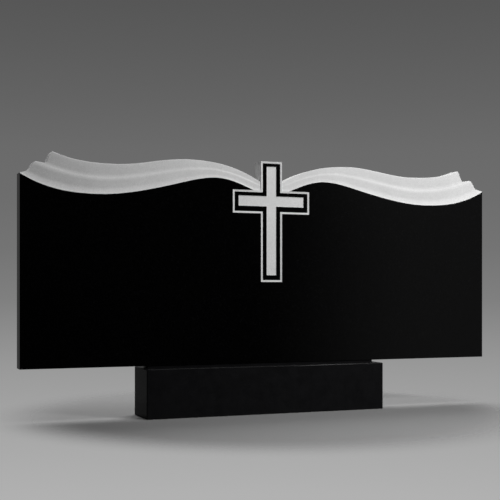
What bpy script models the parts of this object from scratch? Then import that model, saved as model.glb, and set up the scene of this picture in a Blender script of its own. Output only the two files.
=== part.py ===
"""Horizontal granite grave tablet in the outline of an open book, on a low base block.

Frame: metres, +Z up, +X along the tablet's width, the polished face towards -Y.
The origin is on the ground, under the middle of the tablet.
"""
import math

import bmesh
import bpy

# ------------------------------------------------------------------ named sizes
# Base block
BASE_W = 0.758          # along X
BASE_D = 0.134          # along Y
BASE_H = 0.143
BASE_OFFSET_X = -0.0215  # the block stands a little left of the tablet's middle
BASE_ARRIS = 0.0025     # rounded arris on every edge of the block

# Low raised seat on the block, which carries the tablet
SEAT_H = 0.0064
SEAT_INSET_X = 0.0147   # from each end of the block
SEAT_D = 0.044
JOINT_GAP = 0.0003      # between the seat and the tablet's underside

# Tablet slab
TABLET_W = 1.500
TABLET_T = 0.050
TABLET_Z = BASE_H + SEAT_H + JOINT_GAP
HALF_W = TABLET_W / 2
FRONT_Y = -TABLET_T / 2
BACK_Y = TABLET_T / 2

# Heights above the tablet's underside. Each line runs from the spine (x = 0) to the
# outer end and is given by its few turning points: (x, height, slope there).
FACE_LINE = [           # upper edge of the polished face
    (0.0000, 0.4943, 0.357),
    (0.1761, 0.5511, 0.000),   # crest of the page
    (0.3130, 0.5253, -0.246),  # steepest part of the fall
    (0.5322, 0.4907, 0.000),   # hollow of the page
    (0.7500, 0.5412, 0.590),   # outer corner
]
RIDGE_LINE = [          # rounded nose of the lower page layer
    (0.000, 0.5181, 0.42),
    (0.205, 0.5766, 0.00),
    (0.515, 0.5379, 0.00),
    (0.704, 0.5761, 0.38),
]
TOP_LINE = [            # outer edge of the upper page layer
    (0.000, 0.5186, 0.767),
    (0.265, 0.6011, 0.000),
    (0.481, 0.5781, 0.000),
    (0.655, 0.6043, 0.399),
]

# Stepped outer ends of the page layers
LEDGE_TIP_H = 0.5427    # top of the slab at its outer corner
LEDGE_RISE = 0.28       # slope of the lowest step, rising inwards
STEP2_OUT, STEP2_IN = 0.729, 0.704    # end of the lower layer: foot and shoulder
STEP2_H, STEP2_FALL = 0.5761, 0.15     # height of its shoulder and inward fall
STEP3_OUT, STEP3_IN = 0.680, 0.657    # end of the upper layer: foot and shoulder

# Lean of the carved surface, in degrees from upright, at parts of each layer's height.
# The layers are shallow waves close behind the plane of the polished face.
LOWER_LAYER = [(0.0, 27.0), (0.20, 13.0), (0.45, -2.5), (0.78, -2.5), (0.90, 6.0), (1.0, 17.5)]
UPPER_LAYER = [(0.0, 17.5), (0.12, 6.5), (0.27, -2.5), (0.60, -2.5), (0.90, 0.0), (1.0, 9.0)]
EDGE_STEP = 0.0005      # the carving starts this far behind the polished face
SPINE_SHARE = 0.65      # the layers are flatter near the spine, by this factor
SPINE_END, FULL_FROM = 0.24, 0.46     # where they start to deepen and are at full depth
LEVELS = (0.075, 0.175, 0.40, 0.50, 0.575, 0.675, 0.875, 1.0)   # levels up the two layers, 0.5 between them

# Cross
CROSS_HALF = 0.0343      # half width of the upright
CROSS_TOP = 0.6059
CROSS_BOTTOM = 0.2432
ARM_HALF = 0.1245
ARM_TOP = 0.5181
ARM_BOTTOM = 0.4493
INNER_HALF = 0.0157     # sunk cross inside the polished band
INNER_ARM_HALF = 0.1060
INNER_TOP = 0.5909
INNER_BOTTOM = 0.2637
INNER_ARM_TOP = 0.5016
INNER_ARM_BOTTOM = 0.4708
INNER_DEPTH = 0.0016

COLUMN_STEP = 0.0155    # spacing of the sections along the pages
COLUMN_STEP_END = 0.0030  # spacing over the stepped ends


# ------------------------------------------------------------------ outline functions
def along(line, x):
    """Smooth line through the turning points, each segment a cubic with the given slopes."""
    if x <= line[0][0]:
        return line[0][1]
    for (x0, z0, s0), (x1, z1, s1) in zip(line, line[1:]):
        if x <= x1:
            w = x1 - x0
            t = (x - x0) / w
            return ((2 * t ** 3 - 3 * t ** 2 + 1) * z0 + (t ** 3 - 2 * t ** 2 + t) * w * s0
                    + (3 * t ** 2 - 2 * t ** 3) * z1 + (t ** 3 - t ** 2) * w * s1)
    x1, z1, s1 = line[-1]
    return z1 + s1 * (x - x1)


def ease(a, b, x):
    """0 at a, 1 at b, level at both ends."""
    t = min(1.0, max(0.0, (x - a) / (b - a)))
    return t * t * (3 - 2 * t)


def outline_height(x):
    """Top of the slab, with the stepped ends of the two page layers."""
    a = abs(x)
    ledge = LEDGE_TIP_H + LEDGE_RISE * (HALF_W - a)
    step2 = STEP2_H - STEP2_FALL * (STEP2_IN - a)
    top = along(TOP_LINE, a)
    z = ledge + (step2 - ledge) * ease(STEP2_OUT, STEP2_IN, a)
    return z + (top - z) * ease(STEP3_OUT, STEP3_IN, a)


def face_height(x):
    """Upper edge of the polished face, which the arms of the cross interrupt."""
    a = abs(x)
    z = along(FACE_LINE, a)
    return max(z, ARM_TOP) if a <= ARM_HALF else z


def depth_gained(layer, part, steps=60):
    """Depth gained from the foot of a layer to the given part of its height, as a share of that height."""
    depth = 0.0
    for i in range(steps):
        f = part * (i + 0.5) / steps
        for (f0, lean0), (f1, lean1) in zip(layer, layer[1:]):
            if f <= f1:
                break
        lean = lean0 + (lean1 - lean0) * ease(f0, f1, f)
        depth += math.tan(math.radians(lean)) * part / steps
    return depth


def page_section(x):
    """(y, z) points up the carved front, from the polished face to the back of the top."""
    a = abs(x)
    low, ridge, crest = face_height(x), along(RIDGE_LINE, a), along(TOP_LINE, a)
    top = outline_height(x)
    if top < ridge:                         # the upper layer has ended here
        reach = 0.5 * (top - low) / (ridge - low)
    else:
        reach = min(1.0, 0.5 + 0.5 * (top - ridge) / (crest - ridge))
    share = SPINE_SHARE + (1.0 - SPINE_SHARE) * ease(SPINE_END, FULL_FROM, a)
    points = [(FRONT_Y, low)]
    for level in LEVELS:
        u = reach * level
        f = min(1.0, 2 * u)
        z = low + f * (ridge - low)
        depth = EDGE_STEP + share * depth_gained(LOWER_LAYER, f) * (ridge - low)
        if u > 0.5:
            f = 2 * u - 1
            z = ridge + f * (crest - ridge)
            depth += share * depth_gained(UPPER_LAYER, f) * (crest - ridge)
        points.append((FRONT_Y + depth, z))
    points.append((BACK_Y, points[-1][1]))
    return points


def page_columns():
    """Section places of one page, from the upright of the cross to the outer end."""
    def run(a, b, step):
        n = max(1, math.ceil((b - a) / step - 1e-6))
        return [a + (b - a) * i / n for i in range(n)]

    lo, hi = CROSS_HALF, ARM_HALF           # where the polished face's edge leaves the arm
    for _ in range(60):
        mid = (lo + hi) / 2
        if along(FACE_LINE, mid) < ARM_TOP:
            lo = mid
        else:
            hi = mid
    leave_arm = hi
    xs = run(CROSS_HALF, leave_arm, COLUMN_STEP) + run(leave_arm, STEP3_IN - 0.006, COLUMN_STEP)
    xs += run(STEP3_IN - 0.006, STEP2_OUT + 0.004, COLUMN_STEP_END)
    xs += run(STEP2_OUT + 0.004, HALF_W, COLUMN_STEP_END * 2)
    return xs + [HALF_W]


# ------------------------------------------------------------------ scene helpers
for old in list(bpy.data.objects):
    bpy.data.objects.remove(old, do_unlink=True)

parts = bpy.data.collections.new("granite_grave_tablet")
cutters = bpy.data.collections.new("cutters")
bpy.context.scene.collection.children.link(parts)
bpy.context.scene.collection.children.link(cutters)


def granite(name, colour, roughness):
    mat = bpy.data.materials.new(name)
    mat.use_nodes = True
    shader = mat.node_tree.nodes["Principled BSDF"]
    shader.inputs["Base Color"].default_value = (*colour, 1.0)
    shader.inputs["Roughness"].default_value = roughness
    shader.inputs["Metallic"].default_value = 0.0
    mat.diffuse_color = (*colour, 1.0)
    return mat


def from_bmesh(bm, name, collection):
    bmesh.ops.recalc_face_normals(bm, faces=bm.faces[:])
    mesh = bpy.data.meshes.new(name)
    bm.to_mesh(mesh)
    bm.free()
    obj = bpy.data.objects.new(name, mesh)
    collection.objects.link(obj)
    return obj


def box(name, collection, size, centre):
    bpy.ops.mesh.primitive_cube_add(size=1.0, location=(0, 0, 0))
    obj = bpy.context.active_object
    obj.name = obj.data.name = name
    for v in obj.data.vertices:
        v.co = (v.co.x * size[0], v.co.y * size[1], v.co.z * size[2])
    obj.location = centre
    for c in list(obj.users_collection):
        c.objects.unlink(obj)
    collection.objects.link(obj)
    return obj


def as_cutter(obj):
    obj.hide_render = True
    obj.display_type = "WIRE"


def boolean(obj, other, operation):
    mod = obj.modifiers.new(operation.lower(), "BOOLEAN")
    mod.operation = operation
    mod.solver = "EXACT"
    mod.object = other


# ------------------------------------------------------------------ tablet
def build_tablet():
    bm = bmesh.new()
    columns = page_columns()
    pages = {}
    for side in (-1, 1):
        loops = []
        for x in columns:
            ring = [bm.verts.new((side * x, FRONT_Y, 0.0))]
            ring += [bm.verts.new((side * x, y, z)) for y, z in page_section(x)]
            ring.append(bm.verts.new((side * x, BACK_Y, 0.0)))
            loops.append(ring)
        for a, b in zip(loops, loops[1:]):
            for i in range(len(a)):
                j = (i + 1) % len(a)
                bm.faces.new((a[i], a[j], b[j], b[i]))
        bm.faces.new(loops[-1])                     # outer end of the slab
        pages[side] = loops[0]

    # Upright of the cross, which joins the pages and stands above the spine
    tops = {}
    for side in (-1, 1):
        ring = pages[side]
        front = bm.verts.new((side * CROSS_HALF, FRONT_Y, CROSS_TOP))
        back = bm.verts.new((side * CROSS_HALF, BACK_Y, CROSS_TOP))
        tops[side] = (front, back)
        bm.faces.new(ring[1:-1] + [back, front])    # its side, above the page
    left, right = pages[-1], pages[1]
    bm.faces.new((left[0], right[0], right[1], tops[1][0], tops[-1][0], left[1]))
    bm.faces.new((left[-1], left[-2], tops[-1][1], tops[1][1], right[-2], right[-1]))
    bm.faces.new((tops[-1][0], tops[1][0], tops[1][1], tops[-1][1]))
    bm.faces.new((left[0], left[-1], right[-1], right[0]))
    return from_bmesh(bm, "tablet", parts)


def build_inner_cross():
    """Cross-shaped cutter for the sunk cross on the face."""
    h, a = INNER_HALF, INNER_ARM_HALF
    right_side = [(h, INNER_BOTTOM), (h, INNER_ARM_BOTTOM), (a, INNER_ARM_BOTTOM),
                  (a, INNER_ARM_TOP), (h, INNER_ARM_TOP), (h, INNER_TOP)]
    outline = right_side + [(-x, z) for x, z in reversed(right_side)]
    bm = bmesh.new()
    face = bm.faces.new([bm.verts.new((x, FRONT_Y + INNER_DEPTH, z)) for x, z in outline])
    out = bmesh.ops.extrude_face_region(bm, geom=[face])
    moved = [e for e in out["geom"] if isinstance(e, bmesh.types.BMVert)]
    bmesh.ops.translate(bm, verts=moved, vec=(0.0, -INNER_DEPTH - 0.010, 0.0))
    return from_bmesh(bm, "inner_cross_cutter", cutters)


tablet = build_tablet()
tablet.location = (0.0, 0.0, TABLET_Z)
tablet.data.materials.append(granite("black_granite_tablet", (0.012, 0.012, 0.013), 0.06))
inner_cross = build_inner_cross()
inner_cross.location = tablet.location
as_cutter(inner_cross)
boolean(tablet, inner_cross, "DIFFERENCE")

# ------------------------------------------------------------------ base block
base = box("base", parts, (BASE_W, BASE_D, BASE_H), (BASE_OFFSET_X, 0.0, BASE_H / 2))
base.data.materials.append(granite("black_granite_base", (0.012, 0.012, 0.013), 0.08))
arris = base.modifiers.new("arris", "BEVEL")
arris.width = BASE_ARRIS
arris.segments = 3
arris.limit_method = "ANGLE"
arris.angle_limit = math.radians(40)

SEAT_BURY = 0.010       # how far the seat's block reaches down into the base
seat = box("seat_block", cutters,
           (BASE_W - 2 * SEAT_INSET_X, SEAT_D, SEAT_H + SEAT_BURY),
           (BASE_OFFSET_X, 0.0, BASE_H + (SEAT_H - SEAT_BURY) / 2))
as_cutter(seat)
boolean(base, seat, "UNION")
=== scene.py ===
import math

import bmesh
import bpy
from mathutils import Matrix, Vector


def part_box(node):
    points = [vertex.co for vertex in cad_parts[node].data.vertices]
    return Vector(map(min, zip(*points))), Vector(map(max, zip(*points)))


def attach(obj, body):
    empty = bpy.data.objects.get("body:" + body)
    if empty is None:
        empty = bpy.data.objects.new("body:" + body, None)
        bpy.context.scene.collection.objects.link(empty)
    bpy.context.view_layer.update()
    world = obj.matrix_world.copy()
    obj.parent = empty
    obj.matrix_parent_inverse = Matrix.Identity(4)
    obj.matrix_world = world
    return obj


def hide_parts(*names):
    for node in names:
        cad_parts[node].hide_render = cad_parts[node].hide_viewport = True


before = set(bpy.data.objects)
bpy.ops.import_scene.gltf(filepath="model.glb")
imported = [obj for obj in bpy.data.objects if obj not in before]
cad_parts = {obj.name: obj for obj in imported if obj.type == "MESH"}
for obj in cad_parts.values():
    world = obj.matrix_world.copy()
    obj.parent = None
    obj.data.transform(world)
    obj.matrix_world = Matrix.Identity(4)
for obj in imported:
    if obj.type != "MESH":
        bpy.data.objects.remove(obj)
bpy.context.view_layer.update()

# ------------------------------------------------------------------ camera
YAW = math.radians(21.473)
camera_data = bpy.data.cameras.new("camera")
camera_data.sensor_width = 36.0
camera_data.lens = 73.335
camera_data.shift_y = 0.0798
camera_data.clip_start, camera_data.clip_end = 0.05, 200.0
camera = bpy.data.objects.new("camera", camera_data)
camera.location = (-1.1853, -2.8604, 0.3690)
camera.rotation_euler = (math.radians(90.0), 0.0, -YAW)
bpy.context.scene.collection.objects.link(camera)
bpy.context.scene.camera = camera
bpy.context.scene.view_settings.view_transform = "Standard"

# ------------------------------------------------------------------ sizes, metres
tablet_low, tablet_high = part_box("tablet")
base_low, base_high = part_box("base")
HALF_W = tablet_high.x
FRONT, BACK = tablet_low.y, tablet_high.y
FOOT = tablet_low.z                     # underside of the tablet
SEAT_H, SEAT_INSET_X, SEAT_D = 0.0064, 0.0147, 0.044
BASE_TOP = base_high.z - SEAT_H

# turning points of the page lines: (x from the spine, height, slope)
FACE_LINE = [(0.0000, 0.4943, 0.357), (0.1761, 0.5511, 0.000), (0.3130, 0.5253, -0.246),
             (0.5322, 0.4907, 0.000), (0.7500, 0.5412, 0.590)]
RIDGE_LINE = [(0.000, 0.5181, 0.42), (0.205, 0.5766, 0.00), (0.515, 0.5379, 0.00),
              (0.704, 0.5761, 0.38)]
TOP_LINE = [(0.000, 0.5186, 0.767), (0.265, 0.6011, 0.000), (0.481, 0.5781, 0.000),
            (0.655, 0.6043, 0.399)]
LEDGE_TIP_H, LEDGE_RISE = 0.5427, 0.28
STEP2_OUT, STEP2_IN, STEP2_H, STEP2_FALL = 0.729, 0.704, 0.5761, 0.15
STEP3_OUT, STEP3_IN = 0.680, 0.657

# lean of the carved surface, degrees from upright, at parts of each page layer's height
LOWER_LAYER = [(0.0, 27.0), (0.20, 13.0), (0.45, -2.5), (0.78, -2.5), (0.90, 6.0), (1.0, 17.5)]
UPPER_LAYER = [(0.0, 17.5), (0.12, 6.5), (0.27, -2.5), (0.60, -2.5), (0.90, 0.0), (1.0, 9.0)]
EDGE_STEP = 0.0005                      # the carving starts this far behind the polished face
SPINE_SHARE, SPINE_END, FULL_FROM = 0.65, 0.24, 0.46   # the layers are flatter near the spine
ROWS = 52

# cross
UP, TOP, BOTTOM = 0.0343, 0.6059, 0.2432
ARM, ARM_TOP, ARM_BOTTOM = 0.1245, 0.5181, 0.4493
LINE_W, LINE_DEPTH = 0.0056, 0.0006
IN_UP, IN_TOP, IN_BOTTOM = 0.0157, 0.5909, 0.2637
IN_ARM, IN_ARM_TOP, IN_ARM_BOTTOM = 0.1060, 0.5016, 0.4708
IN_DEPTH, DRAFT = 0.0016, 0.0005


# ------------------------------------------------------------------ outline functions
def along(line, x):
    if x <= line[0][0]:
        return line[0][1]
    for (x0, z0, s0), (x1, z1, s1) in zip(line, line[1:]):
        if x <= x1:
            w = x1 - x0
            t = (x - x0) / w
            return ((2 * t ** 3 - 3 * t ** 2 + 1) * z0 + (t ** 3 - 2 * t ** 2 + t) * w * s0
                    + (3 * t ** 2 - 2 * t ** 3) * z1 + (t ** 3 - t ** 2) * w * s1)
    x1, z1, s1 = line[-1]
    return z1 + s1 * (x - x1)


def ease(a, b, x):
    t = min(1.0, max(0.0, (x - a) / (b - a)))
    return t * t * (3 - 2 * t)


def outline_height(a):
    ledge = LEDGE_TIP_H + LEDGE_RISE * (HALF_W - a)
    step2 = STEP2_H - STEP2_FALL * (STEP2_IN - a)
    z = ledge + (step2 - ledge) * ease(STEP2_OUT, STEP2_IN, a)
    return z + (along(TOP_LINE, a) - z) * ease(STEP3_OUT, STEP3_IN, a)


def face_height(a):
    z = along(FACE_LINE, a)
    return max(z, ARM_TOP) if a <= ARM else z


def depth_table(layer, steps=200):
    """Depth gained up to each part of a layer's height, as a share of that height."""
    table, depth = [0.0], 0.0
    for i in range(steps):
        f = (i + 0.5) / steps
        for (f0, a0), (f1, a1) in zip(layer, layer[1:]):
            if f <= f1:
                break
        t = (f - f0) / (f1 - f0)
        lean = a0 + (a1 - a0) * t * t * (3 - 2 * t)
        depth += math.tan(math.radians(lean)) / steps
        table.append(depth)
    return table


LOWER_DEPTH, UPPER_DEPTH = depth_table(LOWER_LAYER), depth_table(UPPER_LAYER)


def depth_at(table, f):
    n = len(table) - 1
    i = min(n - 1, int(f * n))
    return table[i] + (table[i + 1] - table[i]) * (f * n - i)


def relief(a):
    """(y, z) points of the carved front at distance a from the spine, ROWS + 1 of them."""
    low, ridge, crest = face_height(a), along(RIDGE_LINE, a), along(TOP_LINE, a)
    top = outline_height(a)
    if top < ridge:
        reach = 0.5 * (top - low) / (ridge - low)
    else:
        reach = min(1.0, 0.5 + 0.5 * (top - ridge) / (crest - ridge))
    share = SPINE_SHARE + (1.0 - SPINE_SHARE) * ease(SPINE_END, FULL_FROM, a)
    ridge_depth = EDGE_STEP + share * LOWER_DEPTH[-1] * (ridge - low)
    points = [(FRONT, low)]
    for i in range(ROWS):
        u = reach * i / (ROWS - 1)
        if u <= 0.5:
            f = u / 0.5
            z = low + f * (ridge - low)
            depth = EDGE_STEP + share * depth_at(LOWER_DEPTH, f) * (ridge - low)
        else:
            f = (u - 0.5) / 0.5
            z = ridge + f * (crest - ridge)
            depth = ridge_depth + share * depth_at(UPPER_DEPTH, f) * (crest - ridge)
        points.append((FRONT + depth, min(z, top) + (0.0002 if i == 0 else 0.0)))
    return points


def runs(*parts):
    xs = []
    for a, b, step in parts:
        n = max(1, math.ceil((b - a) / step - 1e-6))
        xs += [a + (b - a) * i / n for i in range(n)]
    return xs + [parts[-1][1]]


lo, hi = UP, ARM
for _ in range(60):
    mid = (lo + hi) / 2
    lo, hi = (mid, hi) if along(FACE_LINE, mid) < ARM_TOP else (lo, mid)
LEAVE_ARM = hi                          # where the face's edge leaves the arm of the cross
COLUMNS = runs((UP, LEAVE_ARM, 0.003), (LEAVE_ARM, 0.640, 0.003), (0.640, 0.735, 0.001),
               (0.735, HALF_W, 0.0025))
SHARED = next(i for i, x in enumerate(COLUMNS) if abs(x - LEAVE_ARM) < 1e-9)

# ------------------------------------------------------------------ materials
POLISHED, GROUND, SAWN, SHADED_EDGE, SHADED_SIDE = 0, 1, 2, 3, 4


class Nodes:
    """Short way to build a node material."""

    def __init__(self, name):
        self.mat = bpy.data.materials.new(name)
        self.mat.use_nodes = True
        self.tree = self.mat.node_tree
        self.shader = self.tree.nodes["Principled BSDF"]
        self.coords = self.tree.nodes.new("ShaderNodeTexCoord").outputs["Object"]

    def link(self, a, b):
        self.tree.links.new(a, b)

    def noise(self, scale, detail=2.0, rough=0.5, vector=None):
        n = self.tree.nodes.new("ShaderNodeTexNoise")
        n.inputs["Scale"].default_value = scale
        n.inputs["Detail"].default_value = detail
        n.inputs["Roughness"].default_value = rough
        self.link(vector or self.coords, n.inputs["Vector"])
        return n.outputs["Fac"]

    def crystals(self, scale):
        n = self.tree.nodes.new("ShaderNodeTexVoronoi")
        n.inputs["Scale"].default_value = scale
        self.link(self.coords, n.inputs["Vector"])
        grey = self.tree.nodes.new("ShaderNodeSeparateColor")
        self.link(n.outputs["Color"], grey.inputs["Color"])
        return grey.outputs["Red"], grey.outputs["Green"]

    def ramp(self, value, *stops):
        n = self.tree.nodes.new("ShaderNodeValToRGB")
        els = n.color_ramp.elements
        while len(els) < len(stops):
            els.new(0.5)
        for e, (pos, col) in zip(els, stops):
            e.position = pos
            e.color = (*col, 1.0) if isinstance(col, tuple) else (col, col, col, 1.0)
        self.link(value, n.inputs["Fac"])
        return n.outputs["Color"]

    def mix(self, kind, fac, a, b):
        n = self.tree.nodes.new("ShaderNodeMix")
        n.data_type = "RGBA"
        n.blend_type = kind
        for sock, value in ((n.inputs["Factor"], fac), (n.inputs["A"], a), (n.inputs["B"], b)):
            if hasattr(value, "is_output"):
                self.link(value, sock)
            elif isinstance(value, tuple):
                sock.default_value = (*value, 1.0)
            elif sock.type == "RGBA":
                sock.default_value = (value, value, value, 1.0)
            else:
                sock.default_value = value
        return n.outputs["Result"]

    def between(self, value, low, high):
        n = self.tree.nodes.new("ShaderNodeMapRange")
        n.inputs["To Min"].default_value = low
        n.inputs["To Max"].default_value = high
        self.link(value, n.inputs["Value"])
        return n.outputs["Result"]

    def bump(self, height, strength, distance):
        n = self.tree.nodes.new("ShaderNodeBump")
        n.inputs["Strength"].default_value = strength
        n.inputs["Distance"].default_value = distance
        self.link(height, n.inputs["Height"])
        self.link(n.outputs["Normal"], self.shader.inputs["Normal"])


def polished_granite(name, tones, specular, rough_low, rough_high):
    """Near-black, fine-grained granite under a mirror polish."""
    m = Nodes(name)
    red, green = m.crystals(760.0)
    grain = m.ramp(red, *((at, (t, t, 1.08 * t)) for at, t in zip((0.0, 0.60, 0.90, 0.985, 1.0), tones)))
    cloud = m.ramp(m.noise(38.0, 3.0), (0.30, 0.85), (0.70, 1.15))
    m.link(m.mix("MULTIPLY", 1.0, grain, cloud), m.shader.inputs["Base Color"])
    m.link(m.between(green, rough_low, rough_high), m.shader.inputs["Roughness"])
    m.shader.inputs["Specular IOR Level"].default_value = specular
    return m.mat


def ground_granite(name, shade):
    """Carved and ground surfaces: the crushed crystals scatter light, so they show pale grey. A shade below 1
    darkens the colour, as painted shade.
    """
    m = Nodes(name)
    red, _ = m.crystals(900.0)
    grain = m.ramp(red, *((at, (tone * shade,) * 3) for at, tone in
                          ((0.0, 0.522), (0.25, 0.592), (0.80, 0.630), (1.0, 0.700))))
    cloud = m.ramp(m.noise(26.0, 4.0, 0.55), (0.30, 0.965), (0.70, 1.03))
    m.link(m.mix("MULTIPLY", 1.0, grain, cloud), m.shader.inputs["Base Color"])
    m.link(m.between(m.noise(210.0, 2.0), 0.62, 0.80), m.shader.inputs["Roughness"])
    m.shader.inputs["Specular IOR Level"].default_value = 0.25
    m.bump(m.noise(820.0, 3.0, 0.6), 0.22, 0.0004)
    return m.mat


def sawn_granite():
    """Back and underside: sawn and lightly rubbed, not polished."""
    m = Nodes("sawn_granite")
    red, green = m.crystals(620.0)
    grain = m.ramp(red, (0.0, (0.034, 0.034, 0.036)), (0.6, (0.052, 0.052, 0.054)),
                   (0.93, (0.074, 0.074, 0.076)), (1.0, (0.13, 0.13, 0.13)))
    cloud = m.ramp(m.noise(9.0, 5.0, 0.6), (0.30, 0.86), (0.70, 1.12))
    m.link(m.mix("MULTIPLY", 1.0, grain, cloud), m.shader.inputs["Base Color"])
    m.link(m.between(green, 0.46, 0.62), m.shader.inputs["Roughness"])
    stretch = m.tree.nodes.new("ShaderNodeMapping")       # long faint saw marks
    stretch.inputs["Rotation"].default_value = (0.0, math.radians(7.0), 0.0)
    stretch.inputs["Scale"].default_value = (3.0, 60.0, 330.0)
    m.link(m.coords, stretch.inputs["Vector"])
    marks = m.noise(1.0, 2.0, 0.6, stretch.outputs["Vector"])
    m.bump(marks, 0.35, 0.0005)
    return m.mat


polished_front = polished_granite("polished_granite_tablet", (0.0003, 0.0006, 0.0010, 0.0028, 0.0090), 0.40, 0.045, 0.075)
polished_base = polished_granite("polished_granite_base", (0.0052, 0.0060, 0.0068, 0.0082, 0.0110), 0.05, 0.16, 0.22)
ground = ground_granite("ground_granite", 1.0)
edge_shade_granite = ground_granite("granite_top_edge_painted_shade", 0.56)         # top edges: ground granite darkened to 0.56, painted shade
rubbed = ground_granite("granite_upright_side_painted_shade", 0.75)       # sides of the upright: ground granite darkened to 0.75, painted shade
sawn = sawn_granite()


# ------------------------------------------------------------------ tablet
def cross_corners(half, arm, top, arm_top, arm_bottom, bottom, y):
    """The twelve corners, clockwise from the top left as seen from the front."""
    right = [(half, top), (half, arm_top), (arm, arm_top), (arm, arm_bottom), (half, arm_bottom), (half, bottom)]
    left = [(-x, z) for x, z in reversed(right)]
    return [Vector((x, y, z)) for x, z in left[-1:] + right + left[:-1]]


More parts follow.
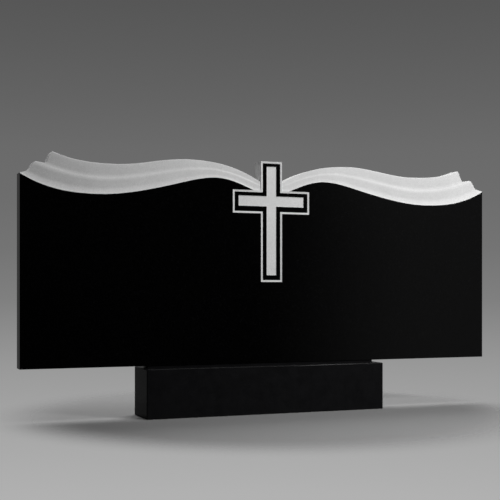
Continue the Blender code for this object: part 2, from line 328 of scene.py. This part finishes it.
def build_tablet():
    bm = bmesh.new()

    def vert(x, y, z):
        return bm.verts.new((x, y, z))

    def face(verts, material, smooth=False):
        f = bm.faces.new(verts)
        f.material_index = material
        f.smooth = smooth
        return f

    # carved pages, top and back edge, one column of points at each station
    pages = {}
    for side in (-1, 1):
        cols = []
        for a in COLUMNS:
            points = relief(a)
            col = [vert(side * a, y, z) for y, z in points]
            col.append(vert(side * a, BACK, points[-1][1]))
            cols.append(col)
        for k, (p, q) in enumerate(zip(cols, cols[1:])):
            a = (COLUMNS[k] + COLUMNS[k + 1]) / 2
            # top edges take the darkened copy of ground granite (painted shade); at the step ends they keep plain
            # ground granite
            edge = GROUND if STEP3_IN < a < STEP3_OUT or STEP2_IN < a < STEP2_OUT else SHADED_EDGE
            for i in range(ROWS + 1):
                face((p[i], p[i + 1], q[i + 1], q[i]), GROUND if i < ROWS else edge, smooth=i < ROWS)
        pages[side] = cols

    # foot of the slab and its two ends
    foot = {(s, t): vert(s * HALF_W, FRONT if t < 0 else BACK, 0.0) for s in (-1, 1) for t in (-1, 1)}
    face((foot[-1, -1], foot[1, -1], foot[1, 1], foot[-1, 1]), SAWN)
    for side in (-1, 1):
        face([foot[side, -1]] + pages[side][-1] + [foot[side, 1]], POLISHED)

    # the cross: outer edge, ground line, polished band, sunk cross
    ring0 = [bm.verts.new(c) for c in cross_corners(UP, ARM, TOP, ARM_TOP, ARM_BOTTOM, BOTTOM, FRONT)]
    for side, index in ((1, 2), (-1, 11)):           # foot of the upright on the arm's top
        bm.verts.remove(ring0[index])
        ring0[index] = pages[side][0][0]
    w = LINE_W
    ring1 = [bm.verts.new(c) for c in cross_corners(
        UP - w, ARM - w, TOP - w, ARM_TOP - w, ARM_BOTTOM + w, BOTTOM + w, FRONT + LINE_DEPTH)]
    ring2 = [bm.verts.new(c) for c in cross_corners(
        IN_UP, IN_ARM, IN_TOP, IN_ARM_TOP, IN_ARM_BOTTOM, IN_BOTTOM, FRONT + LINE_DEPTH)]
    d = DRAFT
    ring3 = [bm.verts.new(c) for c in cross_corners(
        IN_UP - d, IN_ARM - d, IN_TOP - d, IN_ARM_TOP - d, IN_ARM_BOTTOM + d, IN_BOTTOM + d, FRONT + IN_DEPTH)]
    shared = {(2, 3): [c[0] for c in pages[1][1:SHARED + 1]],
              (10, 11): [c[0] for c in reversed(pages[-1][1:SHARED + 1])]}
    for i in range(12):
        j = (i + 1) % 12
        between = shared.get((i, j), [])
        face([ring0[i]] + between + [ring0[j], ring1[j], ring1[i]], GROUND)
        face((ring1[i], ring1[j], ring2[j], ring2[i]), POLISHED)
        face((ring2[i], ring2[j], ring3[j], ring3[i]), GROUND)
    face(ring3, GROUND)

    # polished face around the cross
    right_edge = [c[0] for c in reversed(pages[1][SHARED:])]
    left_edge = [c[0] for c in pages[-1][SHARED:]]
    face([foot[-1, -1], foot[1, -1]] + right_edge + ring0[3:11] + left_edge, POLISHED)

    # upright above the pages, and the back
    crown = {side: vert(side * UP, BACK, TOP) for side in (-1, 1)}
    # sides of the upright in a darkened copy of ground granite: painted shade
    for side, index in ((1, 1), (-1, 0)):
        face(pages[side][0] + [crown[side], ring0[index]], SHADED_SIDE)
    # the upright's top face in the darkened copy of ground granite: painted shade
    face((ring0[0], ring0[1], crown[1], crown[-1]), SHADED_EDGE)
    back_right = [c[-1] for c in pages[1]]
    back_left = [c[-1] for c in reversed(pages[-1])]
    face([foot[-1, 1]] + back_left + [crown[-1], crown[1]] + back_right + [foot[1, 1]], SAWN)
    bmesh.ops.recalc_face_normals(bm, faces=bm.faces[:])

    # fine arrises
    def on(edge, test):
        return all(test(v.co) for v in edge.verts)

    def near(a, b):
        return abs(a - b) < 1e-6

    slab, crowned = [], []
    tip = pages[1][-1][0].co.z
    tip_top = pages[1][-1][-1].co.z
    for e in bm.edges:
        if on(e, lambda c: near(c.z, 0.0)) or (
                on(e, lambda c: near(abs(c.x), HALF_W) and (near(c.y, FRONT) or near(c.y, BACK)))
                and abs(e.verts[0].co.z - e.verts[1].co.z) > 0.3):
            slab.append(e)
        elif on(e, lambda c: near(c.y, BACK) and c.z > 0.3) and len({f.material_index for f in e.link_faces}) > 1:
            slab.append(e)
        elif on(e, lambda c: near(abs(c.x), UP) and near(c.y, FRONT) and c.z > ARM_TOP - 1e-6) \
                and abs(e.verts[0].co.z - e.verts[1].co.z) > 0.05:
            crowned.append(e)
        elif on(e, lambda c: near(c.z, TOP)) and not on(e, lambda c: near(c.y, BACK)):
            crowned.append(e)
    bmesh.ops.bevel(bm, geom=slab, offset=0.0011, offset_type="OFFSET", segments=2, profile=0.5,
                    affect="EDGES", clamp_overlap=True, material=-1)
    crowned = [e for e in crowned if e.is_valid]
    bmesh.ops.bevel(bm, geom=crowned, offset=0.0009, offset_type="OFFSET", segments=2, profile=0.5,
                    affect="EDGES", clamp_overlap=True, material=-1)
    bm.normal_update()
    for f in bm.faces:                      # the arris along the back of the top edge, in the top edge's painted-shade copy
        c = f.calc_center_median()
        if c.z > 0.3 and BACK - 0.0012 < c.y < BACK - 1e-5 and f.normal.y > 0.1 and f.normal.z > 0.05:
            f.material_index = SHADED_EDGE
    bmesh.ops.translate(bm, verts=bm.verts[:], vec=(0.0, 0.0, FOOT))
    mesh = bpy.data.meshes.new("tablet_stone")
    bm.to_mesh(mesh)
    bm.free()
    obj = bpy.data.objects.new("tablet_stone", mesh)
    bpy.context.scene.collection.objects.link(obj)
    for m in (polished_front, ground, sawn, edge_shade_granite, rubbed):
        mesh.materials.append(m)
    return obj


# ------------------------------------------------------------------ base block with its seat
def build_base():
    bm = bmesh.new()
    x0, x1, y0, y1 = base_low.x, base_high.x, base_low.y, base_high.y
    mid = (y0 + y1) / 2
    sx0, sx1, sy0, sy1 = x0 + SEAT_INSET_X, x1 - SEAT_INSET_X, mid - SEAT_D / 2, mid + SEAT_D / 2

    def ring(xa, xb, ya, yb, z):
        return [bm.verts.new(p) for p in ((xa, ya, z), (xb, ya, z), (xb, yb, z), (xa, yb, z))]

    rings = [ring(x0, x1, y0, y1, base_low.z), ring(x0, x1, y0, y1, BASE_TOP),
             ring(sx0, sx1, sy0, sy1, BASE_TOP), ring(sx0, sx1, sy0, sy1, base_high.z)]
    for a, b in zip(rings, rings[1:]):
        for i in range(4):
            bm.faces.new((a[i], a[(i + 1) % 4], b[(i + 1) % 4], b[i]))
    bm.faces.new(rings[3])
    under = bm.faces.new(rings[0])
    under.material_index = 1
    bmesh.ops.recalc_face_normals(bm, faces=bm.faces[:])
    block = [e for e in bm.edges if all(v in rings[0] + rings[1] for v in e.verts)]
    seat = [e for e in bm.edges if all(v in rings[3] for v in e.verts)
            or (e.verts[0] in rings[3]) != (e.verts[1] in rings[3])]
    bmesh.ops.bevel(bm, geom=block, offset=0.0025, offset_type="OFFSET", segments=5, profile=0.5,
                    affect="EDGES", clamp_overlap=True, material=-1)
    seat = [e for e in seat if e.is_valid]
    bmesh.ops.bevel(bm, geom=seat, offset=0.0010, offset_type="OFFSET", segments=2, profile=0.5,
                    affect="EDGES", clamp_overlap=True, material=-1)
    for f in bm.faces:
        f.smooth = f.calc_area() < 0.758 * 0.004
    mesh = bpy.data.meshes.new("base_stone")
    bm.to_mesh(mesh)
    bm.free()
    obj = bpy.data.objects.new("base_stone", mesh)
    bpy.context.scene.collection.objects.link(obj)
    mesh.materials.append(polished_base)
    mesh.materials.append(sawn)
    return obj


tablet_piece = build_tablet()
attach(tablet_piece, "root")
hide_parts("tablet")
base_piece = build_base()
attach(base_piece, "root")
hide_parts("base")

# ------------------------------------------------------------------ floor
bpy.ops.mesh.primitive_circle_add(vertices=96, radius=9.0, fill_type="NGON", location=(0, 0, 0))
floor = bpy.context.active_object
floor.name = "floor"
floor_mat = bpy.data.materials.new("floor_matte")
floor_mat.use_nodes = True
tree = floor_mat.node_tree
shader = tree.nodes["Principled BSDF"]
shader.inputs["Roughness"].default_value = 0.9
shader.inputs["Specular IOR Level"].default_value = 0.1
trace = tree.nodes.new("ShaderNodeLightPath")            # the floor's colour drops from 0.205 to 0.050 for glossy rays: painted shade in the floor as the stone mirrors it
grey = tree.nodes.new("ShaderNodeMapRange")
grey.inputs["To Min"].default_value = 0.205
grey.inputs["To Max"].default_value = 0.050
tree.links.new(trace.outputs["Is Glossy Ray"], grey.inputs["Value"])
tree.links.new(grey.outputs["Result"], shader.inputs["Base Color"])
place = tree.nodes.new("ShaderNodeNewGeometry")
oval = tree.nodes.new("ShaderNodeVectorMath")
oval.operation = "MULTIPLY"
oval.inputs[1].default_value = (1 / 0.77, 1 / 0.78, 0.0)
tree.links.new(place.outputs["Position"], oval.inputs[0])
flat = tree.nodes.new("ShaderNodeVectorMath")
flat.operation = "LENGTH"
fade = tree.nodes.new("ShaderNodeMapRange")
fade.interpolation_type = "SMOOTHERSTEP"
fade.inputs["From Min"].default_value = 0.72
fade.inputs["From Max"].default_value = 1.15
clear = tree.nodes.new("ShaderNodeBsdfTransparent")
blend = tree.nodes.new("ShaderNodeMixShader")
tree.links.new(oval.outputs["Vector"], flat.inputs[0])
tree.links.new(flat.outputs["Value"], fade.inputs["Value"])
tree.links.new(fade.outputs["Result"], blend.inputs[0])
tree.links.new(shader.outputs[0], blend.inputs[1])
tree.links.new(clear.outputs[0], blend.inputs[2])
tree.links.new(blend.outputs[0], tree.nodes["Material Output"].inputs["Surface"])
floor.data.materials.append(floor_mat)

# ------------------------------------------------------------------ backdrop and lights
world = bpy.data.worlds.new("studio")
bpy.context.scene.world = world
world.use_nodes = True
tree = world.node_tree
tree.nodes.clear()
coords = tree.nodes.new("ShaderNodeTexCoord")
split = tree.nodes.new("ShaderNodeSeparateXYZ")
height = tree.nodes.new("ShaderNodeMapRange")
height.inputs["From Min"].default_value = -0.30
height.inputs["From Max"].default_value = 0.30
ramp = tree.nodes.new("ShaderNodeValToRGB")
SKY = [(-0.300, 0.450), (-0.198, 0.440), (-0.165, 0.413), (-0.131, 0.382), (-0.103, 0.352), (-0.083, 0.330),
       (-0.069, 0.311), (-0.049, 0.279), (-0.010, 0.215), (0.039, 0.174), (0.088, 0.154), (0.136, 0.145),
       (0.183, 0.124), (0.229, 0.107), (0.300, 0.085)]
els = ramp.color_ramp.elements
while len(els) < len(SKY):
    els.new(0.5)
for e, (z, grey) in zip(els, SKY):
    e.position = (z + 0.30) / 0.60
    e.color = (grey, grey, grey, 1.0)
seen = tree.nodes.new("ShaderNodeBackground")
dim = tree.nodes.new("ShaderNodeBackground")            # the dark studio around, as the stone mirrors it
sides = []
for axis, start, end, top in (("X", 0.36, 0.52, 0.13), ("Y", -0.20, 0.40, 0.088)):
    card = tree.nodes.new("ShaderNodeMapRange")
    card.interpolation_type = "SMOOTHSTEP"
    card.inputs["From Min"].default_value = start
    card.inputs["From Max"].default_value = end
    card.inputs["To Min"].default_value = 0.004
    card.inputs["To Max"].default_value = top
    tree.links.new(split.outputs[axis], card.inputs["Value"])
    sides.append(card.outputs["Result"])
larger = tree.nodes.new("ShaderNodeMath")
larger.operation = "MAXIMUM"
tree.links.new(sides[0], larger.inputs[0])
tree.links.new(sides[1], larger.inputs[1])
tree.links.new(larger.outputs[0], dim.inputs["Color"])
path = tree.nodes.new("ShaderNodeLightPath")
pick = tree.nodes.new("ShaderNodeMixShader")
out = tree.nodes.new("ShaderNodeOutputWorld")
tree.links.new(coords.outputs["Generated"], split.inputs[0])
tree.links.new(split.outputs["Z"], height.inputs["Value"])
tree.links.new(height.outputs["Result"], ramp.inputs["Fac"])
tree.links.new(ramp.outputs["Color"], seen.inputs["Color"])
tree.links.new(path.outputs["Is Camera Ray"], pick.inputs[0])
tree.links.new(dim.outputs[0], pick.inputs[1])
tree.links.new(seen.outputs[0], pick.inputs[2])
tree.links.new(pick.outputs[0], out.inputs["Surface"])


def softbox(name, place, aim, size, power):
    data = bpy.data.lights.new(name, "AREA")
    data.shape = "RECTANGLE"
    data.size, data.size_y = size
    data.energy = power
    obj = bpy.data.objects.new(name, data)
    obj.location = place
    obj.rotation_euler = (Vector(aim) - Vector(place)).to_track_quat("-Z", "Y").to_euler()
    bpy.context.scene.collection.objects.link(obj)
    return obj


softbox("front_top", (0.45, -0.85, 2.8), (0.2, 0.0, 0.6), (1.5, 0.8), 34.0)
softbox("overhead", (0.14, 1.15, 2.6), (0.0, 0.1, 0.0), (2.2, 1.4), 96.0)
key_data = bpy.data.lights.new("key_right", "SPOT")
key_data.energy = 281.0
key_data.shadow_soft_size = 0.30
key_data.spot_size = math.radians(53.0)
key_data.spot_blend = 0.85
key = bpy.data.objects.new("key_right", key_data)
key.location = (1.7, -2.3, 1.55)
key.rotation_euler = (Vector((0.5, 0.0, 0.62)) - key.location).to_track_quat("-Z", "Y").to_euler()
bpy.context.scene.collection.objects.link(key)
